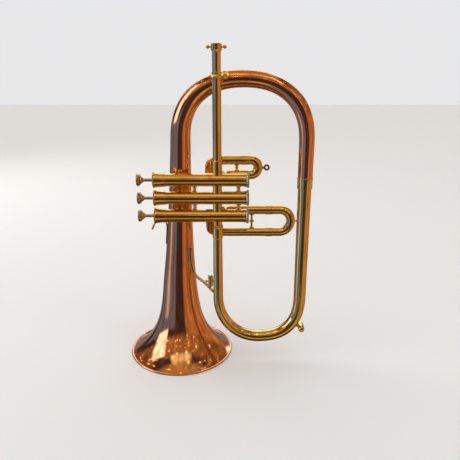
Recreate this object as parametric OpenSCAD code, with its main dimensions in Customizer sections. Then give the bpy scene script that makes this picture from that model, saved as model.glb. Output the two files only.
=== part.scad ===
// Flugelhorn standing on its bell, with three cross-lying piston valves.
// Every sub-part is its own module and is placed in one shared frame:
// origin at the centre of the bell rim plane, X to the right, Y away from the
// player's side of the valves, Z up the bell.

/* [Bell] */
// Outside diameter of the bell rim
bell_d = 152; // [146:0.5:158]
// Height where the flare meets the leaning stem
flare_h = 112; // [108:1:116]
// Height where the stem meets the bow
stem_top = 318; // [314:1:322]
// Sideways lean of the stem at its top
stem_lean = 7; // [5:0.5:8]
// Sheet thickness of bell and bow
sheet = 0.7; // [0.6:0.05:0.9]
// Radius of the wire rolled into the rim
rim_wire_r = 1.3; // [1.2:0.05:1.5]

/* [Bow] */
// Height of the bow's centreline at its crown
bow_top = 397; // [392:1:400]
// Fullness of the bow's corners
bow_n = 2.3; // [2:0.05:2.5]
// Sideways place of the descending leg
leg_x = 174; // [172:0.5:176]
// Depth of the descending leg
leg_y = -22; // [-23:0.5:-21]

/* [Main tube] */
// Height of the lowest point of the centreline
loop_low = 35; // [32:1:38]
// Height where the lower loop starts to bend
loop_start = 98.7; // [95:0.1:102]
// Outside radius where the tube leaves the valves
tube_r0 = 6.1; // [6:0.05:6.2]
// Outside radius at the bell ferrule
tube_r1 = 9; // [8.8:0.05:9]

/* [Valves] */
// Height of the middle valve's axis
valve_mid = 244.6; // [243:0.1:246]
// Distance between neighbouring valve axes
valve_pitch = 24.5; // [24:0.1:25]
// Depth of the valve axes
valve_y = -30; // [-31:0.5:-29]
// Outside radius of a casing
casing_r = 8.7; // [8.6:0.05:8.8]
// Bore radius of a casing
casing_bore = 7.95; // [7.9:0.01:8]
// Radial clearance of a piston in its casing
piston_gap = 0.05; // [0.02:0.01:0.09]
// How far a valve travels when pressed
valve_travel = 12; // [10:0.5:12]
// Sideways place of the straight windway through the valves
windway_x = 57; // [56.5:0.1:57.5]

/* [Slides] */
// Outside radius of a slide sleeve
sleeve_r = 6.2; // [6.1:0.05:6.2]
// Bore radius of a slide sleeve
sleeve_bore = 5.65; // [5.6:0.01:5.7]
// Radial clearance of an inner slide leg
slide_gap = 0.05; // [0.02:0.01:0.09]
// Height of the first slide's upper leg
first_up = 290.3; // [289:0.1:291]
// Height of the first slide's lower leg
first_low = 270; // [269:0.1:270.5]
// Height of the third slide's upper leg
third_up = 219.9; // [219:0.1:221]
// Height of the third slide's lower leg
third_low = 187.6; // [186:0.1:189]

/* [Leadpipe] */
// Outside radius of the leadpipe sleeve
lead_r = 5.74; // [5.6:0.02:5.8]
// Outside radius of the sliding mouthpipe
mouth_r = 4.6; // [4.5:0.05:4.6]
// Height of the top of the lock nut
nut_top = 438.1; // [437:0.1:440]

/* [Hidden] */
$fn = 64;
eps = 0.02;
X = [1, 0, 0];
Y = [0, 1, 0];
Z = [0, 0, 1];
vz = [valve_mid + valve_pitch, valve_mid, valve_mid - valve_pitch];
port_a = 46.4;
port_b = 64;
port_r = 5.2;
cap_in = -28;
cap_out = 99;
top_z = 271;
back = -valve_y;
lean_a = atan2(stem_lean, stem_top - flare_h);
piston_r = casing_bore - piston_gap;
inner_r = sleeve_bore - slide_gap;
crook_bore = 5.2;
first_joint = 96;
first_arc = 102;
third_joint = 131;
third_arc = 143.6;
second_ang = -12;
second_joint = 31;
second_arc = 36;
first_a = [atan2(first_up - vz[0], back), norm([first_up - vz[0], back])];
first_b = [atan2(first_low - vz[0], back), norm([first_low - vz[0], back])];
third_a = [atan2(third_low - vz[2], back), norm([third_low - vz[2], back])];
third_b = [atan2(third_up - vz[2], back), norm([third_up - vz[2], back])];
elbow_r = 11;
second_r = (port_b - port_a) / 2;

// brass, copper and steel colours
copper = [0.82, 0.5, 0.32];
yellow = [0.86, 0.68, 0.34];
pale = [0.84, 0.72, 0.44];
nickel = [0.76, 0.75, 0.72];
steel = [0.7, 0.7, 0.72];

// bell wall: height and outside radius at full size
bell_wall = [[1.9, 73.1], [4, 69.3], [7, 65], [10, 61.2], [15, 55.7], [22.7, 49], [33, 41.9],
  [43.2, 37], [53.4, 33.3], [63.4, 30.6], [73.4, 28.6], [93.1, 25.9], [112, 24.2]];
stem_wall = [[-3, 24.45], [0, 24.2], [19.6, 22.3], [43, 20.3], [75, 18.3], [112, 16.5],
  [150, 14.95], [178, 14.2], [206, 13.7], [212, 13.6]];

function unit(v) = v / norm(v);
function mid(a, b, t) = a + (b - a) * t;
// smooth curve through the points of a list
function spline_pt(p, i, t) =
  let (a = p[max(i - 1, 0)], b = p[i], c = p[i + 1], d = p[min(i + 2, len(p) - 1)])
  0.5 * (2 * b + (c - a) * t + (2 * a - 5 * b + 4 * c - d) * t * t
    + (3 * b - a - 3 * c + d) * t * t * t);
function spline(p, k) = concat([for (i = [0 : len(p) - 2]) for (j = [0 : k - 1])
  spline_pt(p, i, j / k)], [p[len(p) - 1]]);
// unit directions along a path
function heading(p, i) = unit(p[min(i + 1, len(p) - 1)] - p[max(i - 1, 0)]);
function side_of(t, ref) = unit(ref - (ref * t) * t);
// one ring of m points across a path
function ring(c, t, ref, ru, rv, m) =
  let (u = side_of(t, ref), v = cross(t, u))
  [for (k = [0 : m - 1]) c + ru * cos(360 * k / m) * u + rv * sin(360 * k / m) * v];
function flat(list) = [for (a = list) for (b = a) b];
function walls(n, m, o, flip) = [for (i = [0 : n - 2]) for (j = [0 : m - 1])
  let (a = o + i * m + j, b = o + i * m + (j + 1) % m, c = b + m, d = a + m)
  for (f = flip ? [[a, c, d], [a, b, c]] : [[a, d, c], [a, c, b]]) f];

// solid rod with an elliptic section along a path
module rod_path(p, ru, rv, ref, m = 16) {
  n = len(p);
  pts = flat([for (i = [0 : n - 1]) ring(p[i], heading(p, i), ref, ru[i], rv[i], m)]);
  caps = [[for (j = [0 : m - 1]) j], [for (j = [m - 1 : -1 : 0]) (n - 1) * m + j]];
  polyhedron(points = pts, faces = concat(walls(n, m, 0, false), caps), convexity = 6);
}

// hollow round tube along a path, outside radius per point
module tube_path(p, ro, wall, ref, m = 24) {
  n = len(p);
  out = flat([for (i = [0 : n - 1]) ring(p[i], heading(p, i), ref, ro[i], ro[i], m)]);
  inn = flat([for (i = [0 : n - 1])
    ring(p[i], heading(p, i), ref, ro[i] - wall, ro[i] - wall, m)]);
  o = n * m;
  ends = [for (j = [0 : m - 1]) let (k = (j + 1) % m, e = (n - 1) * m)
    for (f = [[j, k, o + k], [j, o + k, o + j],
      [e + k, e + j, o + e + j], [e + k, o + e + j, o + e + k]]) f];
  polyhedron(points = concat(out, inn),
    faces = concat(walls(n, m, 0, false), walls(n, m, o, true), ends), convexity = 8);
}

// turned piece: list of [radius, height] round the Z axis
module turned(pts) {
  rotate_extrude()
    polygon(pts);
}

// turned piece along +X
module turned_x(pts) {
  rotate([0, 90, 0])
    turned(pts);
}

// straight tube along +Z
module pipe(ro, ri, h) {
  difference() {
    cylinder(r = ro, h = h);
    translate([0, 0, -1])
      cylinder(r = ri, h = h + 2);
  }
}

// quarter bend starting at the origin along +Y and leaving along +X
module quarter(bend, r) {
  translate([bend, 0, 0])
    rotate([0, 0, 90])
      rotate_extrude(angle = 90)
        translate([bend, 0])
          circle(r = r);
}

// the solid of a slide sleeve: out of a casing at angle a, then along +X
module sleeve_solid(a, far, x_end, r, extra) {
  rotate([a, 0, 0]) {
    rotate([-90, 0, 0])
      cylinder(r = r, h = far - elbow_r);
    translate([0, far - elbow_r, 0])
      quarter(elbow_r, r);
    translate([elbow_r, far, 0])
      rotate([0, 90, 0])
        cylinder(r = r, h = x_end - elbow_r + extra);
  }
}

// slide sleeve of valve i, leaving at port x and ending at x_end
module slide_sleeve(i, x, af, x_end) {
  translate([x, valve_y, vz[i]])
    difference() {
      union() {
        sleeve_solid(af[0], af[1], x_end - x, sleeve_r, 0);
        rotate([af[0], 0, 0])
          translate([elbow_r, af[1], 0])
            turned_x([[0, x_end - x - elbow_r - 7], [sleeve_r + 0.45, x_end - x - elbow_r - 7],
              [sleeve_r + 0.45, x_end - x - elbow_r], [0, x_end - x - elbow_r]]);
      }
      rotate([af[0], 0, 0]) {
        rotate([-90, 0, 0])
          cylinder(r = port_r, h = af[1] - elbow_r);
        translate([0, af[1] - elbow_r, 0])
          quarter(elbow_r, port_r);
        translate([elbow_r - eps, af[1], 0])
          rotate([0, 90, 0])
            cylinder(r = port_r, h = 10);
        translate([elbow_r + 2, af[1], 0])
          rotate([0, 90, 0])
            cylinder(r = sleeve_bore, h = 200);
      }
      translate([-60, 0, 0])
        rotate([0, 90, 0])
          cylinder(r = casing_r + eps, h = 150);
    }
}

// U shaped slide crook: arc at x_arc, sleeves end at x_joint, legs reach back to x_in
module crook(x_joint, x_arc, x_in, z_up, z_low) {
  rad = (z_up - z_low) / 2;
  zc = (z_up + z_low) / 2;
  difference() {
    union() {
      for (z = [z_up, z_low])
        translate([0, 0, z])
          turned_x([[0, x_in], [inner_r, x_in], [inner_r, x_joint + 0.1],
            [sleeve_r + 0.35, x_joint + 0.1], [sleeve_r + 0.35, x_joint + 2.4],
            [sleeve_r, x_joint + 2.9], [sleeve_r, x_arc], [0, x_arc]]);
      translate([x_arc, 0, zc])
        rotate([90, 0, 0])
          rotate([0, 0, -90])
            rotate_extrude(angle = 180)
              translate([rad, 0])
                circle(r = sleeve_r);
    }
    for (z = [z_up, z_low])
      translate([x_in - 1, 0, z])
        rotate([0, 90, 0])
          cylinder(r = crook_bore, h = x_arc - x_in + 1);
    translate([x_arc, 0, zc])
      rotate([90, 0, 0])
        rotate([0, 0, -90])
          rotate_extrude(angle = 180)
            translate([rad, 0])
              circle(r = crook_bore);
  }
}

// turned post between two parallel X tubes of radius r at heights z0 and z1
module post(x, y, z0, z1, r, waist, bead) {
  m = (z0 + z1) / 2;
  h = (z1 - z0) / 2;
  difference() {
    translate([x, y, m])
      turned([[0, -h], [waist + 1.7, -h], [waist + 1.7, -h + r + 0.9], [waist + 0.6, -h + r + 1.5],
        [waist, -h + r + 2.4], [waist, -bead], [bead + waist - 0.3, -bead * 0.45],
        [bead + waist - 0.3, bead * 0.45], [waist, bead], [waist, h - r - 2.4],
        [waist + 0.6, h - r - 1.5], [waist + 1.7, h - r - 0.9], [waist + 1.7, h], [0, h]]);
    for (z = [z0, z1])
      translate([x - 20, y, z])
        rotate([0, 90, 0])
          cylinder(r = r + eps, h = 40);
  }
}

// ---- bell and bow ----

module flare_shell(grow) {
  s = bell_d / 152;
  w = spline(bell_wall, 4);
  k = flare_h / 112;
  out = [for (p = w) [p[1] * (p[0] < 40 ? s : 1) + grow, p[0] * k]];
  inn = [for (i = [len(w) - 1 : -1 : 0])
    let (t = heading(w, i)) [out[i][0] - sheet / max(abs(t[0]), 0.45), out[i][1]]];
  turned(concat(out, inn));
}

module bell_flare() {
  color(copper)
    difference() {
      flare_shell(0);
      turned([for (k = [0 : 31]) let (a = 360 * k / 32, r = rim_wire_r + eps)
        [bell_d / 2 - rim_wire_r + r * sin(a), rim_wire_r - 0.15 + r * cos(a)]]);
    }
}

// angle from straight down at which the wire is ground flat for standing
rim_cut = acos((rim_wire_r - 0.15) / rim_wire_r);
module bell_rim_wire() {
  color(copper)
    turned([for (k = [0 : 31]) let (a = rim_cut + (360 - 2 * rim_cut) * k / 31)
      [bell_d / 2 - rim_wire_r + rim_wire_r * sin(a), rim_wire_r - 0.15 - rim_wire_r * cos(a)]]);
}

module stem_solid(inset) {
  k = (stem_top - flare_h) / 206;
  translate([0, 0, flare_h])
    rotate([0, lean_a, 0])
      turned(concat([[0, -3 * k]], [for (p = spline(stem_wall, 3)) [p[1] - inset, p[0] * k]],
        [[0, 212 * k]]));
}

module bell_stem() {
  color(copper)
    difference() {
      stem_solid(0);
      stem_solid(sheet);
      translate([-50, -50, flare_h - 50])
        cube([100, 100, 50]);
      translate([-50, -50, stem_top])
        cube([100, 100, 50]);
    }
}

bow_cx = (stem_lean + leg_x) / 2;
bow_a = (leg_x - stem_lean) / 2;
function bow_pt(t) =
  let (x = bow_cx - bow_a * sign(cos(t)) * pow(abs(cos(t)), 2 / bow_n))
  [x, leg_y * (x - stem_lean) / (leg_x - stem_lean),
    stem_top + (bow_top - stem_top) * pow(abs(sin(t)), 2 / bow_n)];
bow_ref = unit([-leg_y, leg_x - stem_lean, 0]);
bow_path = concat([[stem_lean, 0, stem_top], [stem_lean, 0, stem_top + 1.2]],
  [for (t = [6 : 6 : 174]) bow_pt(t)],
  [[leg_x, leg_y, stem_top], [leg_x, leg_y, 300], [leg_x, leg_y, 264]]);
bow_n_pts = len(bow_path);
bow_r = [for (i = [0 : bow_n_pts - 1]) let (f = i / (bow_n_pts - 1))
  f < 0.5 ? mid(13.55, 11.1, pow(f * 2, 0.8)) : mid(11.1, 9.85, f * 2 - 1)];

module bell_bow() {
  color(copper)
    tube_path(bow_path, bow_r, sheet, bow_ref, 24);
}

module bell_ferrule() {
  color(pale)
    translate([leg_x, leg_y, 0])
      turned([[9.05, 255.5], [9.9, 255.5], [10.2, 256], [10.2, 268.6], [10.65, 268.9],
        [10.65, 270.2], [10.35, 270.6], [9.95, 270.6], [9.95, 263.6], [9.05, 263.6]]);
}

// ---- main tube ----

loop_cx = (windway_x + leg_x) / 2;
loop_a = (leg_x - windway_x) / 2;
function loop_y(x) = valve_y + (leg_y - valve_y) * (x - windway_x) / (leg_x - windway_x);
function loop_pt(t) =
  let (n = t < 90 ? 2.0 : 2.6,
    x = loop_cx - loop_a * sign(cos(t)) * pow(abs(cos(t)), 2 / n))
  [x, loop_y(x), loop_start - (loop_start - loop_low) * pow(abs(sin(t)), 2 / n)];
loop_ref = unit([valve_y - leg_y, leg_x - windway_x, 0]);
main_path = concat([for (z = [204, 170, 135, loop_start]) [windway_x, valve_y, z]],
  [for (t = [6 : 6 : 174]) loop_pt(t)],
  [for (z = [loop_start, 150, 200, 230, 262.8]) [leg_x, leg_y, z]]);
main_n = len(main_path);
function grow_r(i) = lookup(i, [[0, tube_r0], [1, 6.4], [2, 6.7], [3, 7], [18, 8.2],
  [33, 8.6], [main_n - 1, tube_r1]]);
main_r = [for (i = [0 : main_n - 1]) grow_r(i)];

module main_tube() {
  color(pale)
    tube_path(main_path, main_r, sheet, loop_ref, 24);
}

module outlet_ferrule() {
  color(yellow)
    difference() {
      translate([windway_x, valve_y, 0])
        turned([[port_r, 204.2], [port_r, 214], [6.15, 214], [6.15, 207.4], [6.7, 206.9],
          [7.4, 206.2], [7.5, 205.2], [7.2, 204.2], [6.95, 203], [6.95, 189.2], [6.8, 188.2],
          [tube_r0 + 0.4, 188.2], [tube_r0 + 0.15, 204.2]]);
      translate([windway_x - 20, valve_y, vz[2]])
        rotate([0, 90, 0])
          cylinder(r = casing_r + eps, h = 40);
    }
}

// ---- leadpipe ----

module inlet_ferrule() {
  color(yellow)
    difference() {
      translate([windway_x, valve_y, 0])
        turned([[port_r, top_z], [6.1, top_z], [6.1, 279.4], [6.4, 280.2], [6.4, 294],
          [6.1, 295.1], [lead_r + 0.03, 295.1], [lead_r + 0.03, 284], [port_r, 284]]);
      translate([windway_x - 20, valve_y, vz[0]])
        rotate([0, 90, 0])
          cylinder(r = casing_r + eps, h = 40);
    }
}

module leadpipe_sleeve() {
  color(pale)
    translate([windway_x, valve_y, 0])
      turned([[mouth_r + 0.05, 284.2], [lead_r, 284.2], [lead_r, 402], [5.5, 405], [5.5, 428.2],
        [5.15, 428.2], [5.15, 434], [mouth_r + 0.05, 434]]);
}

ring_z = 399.2;
disc_at = [67.3, -20.1, 400.9];
disc_dir = unit([-0.06, -0.9, 0.4]);
module leadpipe_brace() {
  base = [windway_x, valve_y, ring_z];
  v = disc_at - base;
  q = disc_at + disc_dir * 1.2 - base;
  color(yellow)
    difference() {
      union() {
        translate([windway_x, valve_y, 0])
          turned([[3, 396.9], [7.6, 396.9], [8.5, 397.6], [8.9, 399.2], [8.5, 400.8],
            [7.6, 401.6], [6.4, 401.8], [6.4, 404.4], [6, 405], [3, 405]]);
        translate(base)
          rotate([0, acos(q[2] / norm(q)), atan2(q[1], q[0])])
            cylinder(r = 2.3, h = norm(q));
        translate(disc_at)
          rotate([0, acos(disc_dir[2]), atan2(disc_dir[1], disc_dir[0])])
            turned([[0, -1.8], [5.5, -1.8], [5.5, 0.6], [5, 1.1], [3.2, 1.5], [0, 1.7]]);
      }
      translate([windway_x, valve_y, 390])
        cylinder(r = lead_r + 0.03, h = 20);
      translate([40, leg_y * (40 - stem_lean) / (leg_x - stem_lean), 389.2])
        rotate([0, 90 - 4.6, -7.5])
          cylinder(r = 11.75, h = 60);
    }
}

module mouthpipe() {
  color(pale)
    translate([windway_x, valve_y, 0])
      turned([[3.6, 345], [mouth_r, 345], [mouth_r, nut_top - 0.4], [mouth_r - 0.15, nut_top],
        [4.2, nut_top], [4.2, nut_top - 22], [3.6, nut_top - 40]]);
}

module lock_nut() {
  color(yellow)
    difference() {
      translate([windway_x, valve_y, 0])
        turned([[5.2, 428.5], [5.9, 428.5], [6.7, 430.5], [6.7, nut_top - 0.9],
          [6.2, nut_top - 0.2], [mouth_r + 0.05, nut_top - 0.2], [mouth_r + 0.05, 434.3],
          [5.2, 434.3]]);
      for (s = [-1, 1])
        translate([windway_x + s * 5.7, valve_y, 433.9])
          rotate([0, s * 90, 0])
            cylinder(r = 1.35, h = 4);
      translate([windway_x, valve_y, 430.6])
        rotate([0, 0, -116])
          translate([3, -0.35, 0])
            cube([6, 0.7, 12]);
    }
}

module lock_handles() {
  color(yellow)
    for (s = [-1, 1])
      translate([windway_x, valve_y, 433.9])
        rotate([0, s * 90, 0])
          turned(concat([[0, 5.8], [1.35, 5.8], [1.35, 7], [1, 7.6], [0.95, 8.2]],
            [for (a = [24 : 12 : 168]) [2.35 * sin(a), 10.4 - 2.35 * cos(a)]], [[0, 12.75]]));
}

// ---- valves ----

module valve_casing(i, a_ang, b_ang) {
  color(yellow)
    difference() {
      translate([0, valve_y, vz[i]])
        union() {
          turned_x([[casing_bore, -25], [casing_r, -25], [casing_r, 96], [casing_bore, 96]]);
          for (x = [-13.2, 91.3])
            turned_x([[casing_bore + 0.2, x], [casing_r + 0.35, x + 0.15],
              [casing_r + 0.35, x + 1.25], [casing_bore + 0.2, x + 1.4]]);
        }
      translate([windway_x, valve_y, vz[i] - 20])
        cylinder(r = port_r, h = 40);
      translate([port_a, valve_y, vz[i]])
        rotate([a_ang - 90, 0, 0])
          cylinder(r = port_r, h = 20);
      translate([port_b, valve_y, vz[i]])
        rotate([b_ang - 90, 0, 0])
          cylinder(r = port_r, h = 20);
    }
}

module valve_casing_1() {
  valve_casing(0, first_a[0], first_b[0]);
}

module valve_casing_2() {
  valve_casing(1, second_ang, second_ang);
}

module valve_casing_3() {
  valve_casing(2, third_a[0], third_b[0]);
}

module knuckle(i) {
  color(yellow)
    difference() {
      translate([windway_x, valve_y, vz[i + 1]])
        turned([[port_r, 5], [6.1, 5], [6.1, valve_pitch - 5], [port_r, valve_pitch - 5]]);
      for (z = [vz[i], vz[i + 1]])
        translate([windway_x - 20, valve_y, z])
          rotate([0, 90, 0])
            cylinder(r = casing_r + eps, h = 40);
    }
}

module knuckle_12() {
  knuckle(0);
}

module knuckle_23() {
  knuckle(1);
}

module spools(i) {
  color(yellow)
    for (x = [26.6, 85])
      difference() {
        translate([x, valve_y, vz[i + 1]])
          turned([[0, 5], [3.5, 5], [3.5, 9.3], [2.8, 9.8], [1.8, 10.4], [1.8, 10.8], [2.6, 11.3],
            [2.95, 12.25], [2.6, 13.2], [1.8, 13.7], [1.8, 14.1], [2.8, 14.7], [3.5, 15.2],
            [3.5, valve_pitch - 5], [0, valve_pitch - 5]]);
        for (z = [vz[i], vz[i + 1]])
          translate([x - 20, valve_y, z])
            rotate([0, 90, 0])
              cylinder(r = casing_r + eps, h = 40);
      }
}

module spools_12() {
  spools(0);
}

module spools_23() {
  spools(1);
}

module top_cap(i) {
  color(yellow)
    translate([0, valve_y, vz[i]])
      turned_x([[2.9, -28], [9.8, -28], [10.7, -27.5], [10.8, -26.8], [10.5, -25.9],
        [10.15, -24.4], [9.85, -22.2], [9.55, -19.4], [9.3, -16.4], [9.15, -13.4],
        [casing_r + 0.03, -13.4], [casing_r + 0.03, -25.1], [2.9, -25.1]]);
}

module top_cap_1() {
  top_cap(0);
}

module top_cap_2() {
  top_cap(1);
}

module top_cap_3() {
  top_cap(2);
}

module bottom_cap(i) {
  color(nickel)
    translate([0, valve_y, vz[i]])
      turned_x([[casing_r + 0.03, 92.9], [9.3, 92.9], [9.2, 94.4], [9.5, 95.6], [10.3, 96.4],
        [10.6, 97.1], [10.6, 98.2], [10.1, 98.8], [9.2, 99], [7.4, 99], [6.6, 98.3],
        [2, 98.3], [2, 96.2], [casing_r + 0.03, 96.2]]);
}

module bottom_cap_1() {
  bottom_cap(0);
}

module bottom_cap_2() {
  bottom_cap(1);
}

module bottom_cap_3() {
  bottom_cap(2);
}

// a straight passage through a piston between two wall points [x, angle from +Y]
module passage(p, q, r) {
  a = [p[0], piston_r * cos(p[1]), piston_r * sin(p[1])];
  b = [q[0], piston_r * cos(q[1]), piston_r * sin(q[1])];
  d = unit(b - a);
  translate(a - d * 5)
    rotate([0, acos(d[2]), atan2(d[1], d[0])])
      cylinder(r = r, h = norm(b - a) + 10);
}

module piston(i, runs) {
  color(steel)
    translate([0, valve_y, vz[i]])
      difference() {
        turned_x([[0, 14], [piston_r - 0.4, 14], [piston_r, 14.4], [piston_r, 69.6],
          [piston_r - 0.4, 70], [6.9, 70], [6.9, 66.5], [0, 66.5]]);
        translate([windway_x, 0, -20])
          cylinder(r = 4.9, h = 40);
        for (r = runs)
          passage(r[0], r[1], 3.4);
        translate([13, 0, 0])
          rotate([0, 90, 0])
            cylinder(r = 1.6, h = 5);
      }
}

module piston_1() {
  piston(0, [[[45, 90], [52, first_b[0]]], [[34.4, first_a[0]], [45, -90]]]);
}

module piston_2() {
  piston(1, [[[45, 90], [52, second_ang]], [[34.4, second_ang], [45, -90]]]);
}

module piston_3() {
  piston(2, [[[45, 90], [52, third_b[0]]], [[34.4, third_a[0]], [45, -90]]]);
}

module stem(i) {
  color(steel)
    translate([0, valve_y, vz[i]])
      turned_x([[0, -45.5], [2.3, -45.5], [2.3, 13.98], [1.55, 13.98], [1.55, 17.6], [0, 17.6]]);
}

module stem_1() {
  stem(0);
}

module stem_2() {
  stem(1);
}

module stem_3() {
  stem(2);
}

module button(i) {
  color(yellow)
    translate([0, valve_y, vz[i]])
      turned_x([[0, -48.9], [5.9, -48.9], [6.6, -49.5], [7.4, -49.5], [8.1, -48.7],
        [8.2, -47.4], [7.8, -46.2], [6.9, -45.2], [5.6, -44.2], [4.5, -43.2], [4, -42.2],
        [3.6, -41.3], [3.3, -41], [2.33, -41], [2.33, -45.6], [0, -45.6]]);
}

module button_1() {
  button(0);
}

module button_2() {
  button(1);
}

module button_3() {
  button(2);
}

// helical return spring under a piston
module piston_spring(i) {
  turns = 5;
  n = turns * 12;
  path = [for (k = [0 : n]) [67.6 + 27.4 * k / n, valve_y + 5.7 * cos(30 * k),
    vz[i] + 5.7 * sin(30 * k)]];
  color(steel)
    rod_path(path, [for (k = [0 : n]) 0.55], [for (k = [0 : n]) 0.55], X, 6);
}

module piston_spring_1() {
  piston_spring(0);
}

module piston_spring_2() {
  piston_spring(1);
}

module piston_spring_3() {
  piston_spring(2);
}

// ---- slides ----

module first_sleeve_upper() {
  color(yellow)
    slide_sleeve(0, port_a, first_a, first_joint);
}

module first_sleeve_lower() {
  color(yellow)
    slide_sleeve(0, port_b, first_b, first_joint);
}

module first_slide_brace() {
  color(yellow)
    post(83, 0, first_low, first_up, sleeve_r, 1.5, 1.2);
}

module first_crook() {
  color(yellow)
    crook(first_joint, first_arc, 78, first_up, first_low);
}

module first_pull_ring() {
  color(yellow)
    difference() {
      union() {
        translate([123.9, 0, (first_up + first_low) / 2])
          rotate([90, 0, 0])
            turned([[1.7, -1.1], [2.2, -1.5], [3.7, -1.5], [4.4, -0.8], [4.4, 0.8],
              [3.7, 1.5], [2.2, 1.5], [1.7, 1.1]]);
        translate([116, 0, (first_up + first_low) / 2])
          turned_x([[0, 0], [2.6, 0], [2.4, 3], [1.2, 3.6], [1.2, 4.6], [0, 4.6]]);
      }
      translate([first_arc, 0, (first_up + first_low) / 2])
        rotate([90, 0, 0])
          rotate_extrude()
            translate([(first_up - first_low) / 2, 0])
              circle(r = sleeve_r + eps);
    }
}

module second_sleeves() {
  color(yellow)
    translate([0, valve_y, vz[1]])
      difference() {
        for (x = [port_a, port_b])
          translate([x, 0, 0])
            rotate([second_ang - 90, 0, 0])
              turned([[port_r, 4], [sleeve_r, 4], [sleeve_r, second_joint - 7],
                [sleeve_r + 0.4, second_joint - 7], [sleeve_r + 0.4, second_joint],
                [sleeve_bore, second_joint], [sleeve_bore, 11], [port_r, 11]]);
        translate([20, 0, 0])
          rotate([0, 90, 0])
            cylinder(r = casing_r + eps, h = 80);
      }
}

module second_crook() {
  color(yellow)
    translate([0, valve_y, vz[1]])
      rotate([second_ang - 90, 0, 0])
        difference() {
          union() {
            for (x = [port_a, port_b])
              translate([x, 0, 0])
                turned([[0, 13], [inner_r, 13], [inner_r, second_joint + 0.1],
                  [sleeve_r + 0.35, second_joint + 0.1], [sleeve_r + 0.35, second_joint + 2.2],
                  [sleeve_r, second_joint + 2.7], [sleeve_r, second_arc], [0, second_arc]]);
            translate([(port_a + port_b) / 2, 0, second_arc])
              rotate([90, 0, 0])
                rotate_extrude(angle = 180)
                  translate([second_r, 0])
                    circle(r = sleeve_r);
          }
          for (x = [port_a, port_b])
            translate([x, 0, 12])
              cylinder(r = crook_bore, h = second_arc - 12);
          translate([(port_a + port_b) / 2, 0, second_arc])
            rotate([90, 0, 0])
              rotate_extrude(angle = 180)
                translate([second_r, 0])
                  circle(r = crook_bore);
        }
}

// small turned pull knob standing on the end of a crook
module knob_shape() {
  turned([[0, -2.5], [2.6, -2.5], [2.3, 0.2], [1.3, 0.8], [1.3, 1.3], [2.1, 1.9], [2.4, 2.9],
    [2, 3.8], [1, 4.3], [0, 4.4]]);
}

module second_knob() {
  color(yellow)
    translate([0, valve_y, vz[1]])
      rotate([second_ang - 90, 0, 0])
        difference() {
          translate([(port_a + port_b) / 2, 0, second_arc + second_r + sleeve_r])
            knob_shape();
          translate([(port_a + port_b) / 2, 0, second_arc])
            rotate([90, 0, 0])
              rotate_extrude()
                translate([second_r, 0])
                  circle(r = sleeve_r + eps);
        }
}

module third_sleeve_upper() {
  color(yellow)
    slide_sleeve(2, port_b, third_b, third_joint);
}

module third_sleeve_lower() {
  color(yellow)
    slide_sleeve(2, port_a, third_a, third_joint);
}

module third_slide_brace() {
  color(yellow)
    post(104.3, 0, third_low, third_up, sleeve_r, 1.5, 2);
}

module third_crook() {
  color(yellow)
    crook(third_joint, third_arc, 80, third_up, third_low);
}

module third_knob() {
  rad = (third_up - third_low) / 2;
  zc = (third_up + third_low) / 2;
  color(yellow)
    difference() {
      translate([third_arc + rad + sleeve_r, 0, zc])
        rotate([0, 90, 0])
          scale(0.75)
            knob_shape();
      translate([third_arc, 0, zc])
        rotate([90, 0, 0])
          rotate_extrude()
            translate([rad, 0])
              circle(r = sleeve_r + eps);
    }
}

// ---- braces and small fittings ----

module bell_stays() {
  color(yellow)
    difference() {
      for (s = [[5.2, vz[0]], [3.7, vz[2]]])
        translate([s[0], valve_y, s[1]])
          rotate([-90, 0, 0])
            turned([[0, 6], [4.2, 6], [4.2, 9.6], [2.4, 10.6], [2.4, 12.4], [4.4, 13.6],
              [4.4, 18], [0, 18]]);
      for (z = [vz[0], vz[2]])
        translate([-30, valve_y, z])
          rotate([0, 90, 0])
            cylinder(r = casing_r + eps, h = 60);
      stem_solid(-eps);
    }
}

s_path = spline([[17.9, -12.9, 168.5], [17, -14.2, 161], [17.6, -14.2, 150.6],
  [19, -13.9, 140.4], [21.4, -14.6, 132.2], [26.4, -17.6, 125.6], [34.2, -21.6, 120.9],
  [42, -26, 115.2], [47.4, -28.9, 110.6], [50.6, -30, 108]], 2);
s_n = len(s_path);
module s_brace() {
  color(pale)
    rod_path(s_path, [for (i = [0 : s_n - 1]) i < 7 ? 2.5 : 2.1],
      [for (i = [0 : s_n - 1]) i < 7 ? mid(0.9, 1.4, i / 7) : 1.5], X + Z * 0.4, 16);
}

lyre_x = 46.1;
module lyre_socket() {
  color(pale)
    difference() {
      translate([lyre_x, valve_y, 0])
        union() {
          turned([[0, 116.4], [3.35, 116.4], [3.35, 131.5], [2.9, 132.9], [1.9, 133.7],
            [0, 133.9]]);
          translate([0, 0, 125])
            rotate([0, 90, 0])
              cylinder(r = 2.4, h = 4.6);
        }
      translate([lyre_x, valve_y, 115])
        cylinder(r = 2.2, h = 16);
      translate([lyre_x - 5, valve_y, 124])
        rotate([0, 90, 0])
          cylinder(r = 1.05, h = 4);
      translate([windway_x, valve_y, 110])
        cylinder(r1 = 7, r2 = 6.8, h = 26);
    }
}

module lyre_screw() {
  color(pale)
    translate([40.4, valve_y, 124])
      turned_x(concat([[0, -1.9]], [for (a = [15 : 15 : 135]) [1.9 * sin(a), -1.9 * cos(a)]],
        [[1, 1.6], [1, 3.4], [0, 3.4]]));
}

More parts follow.
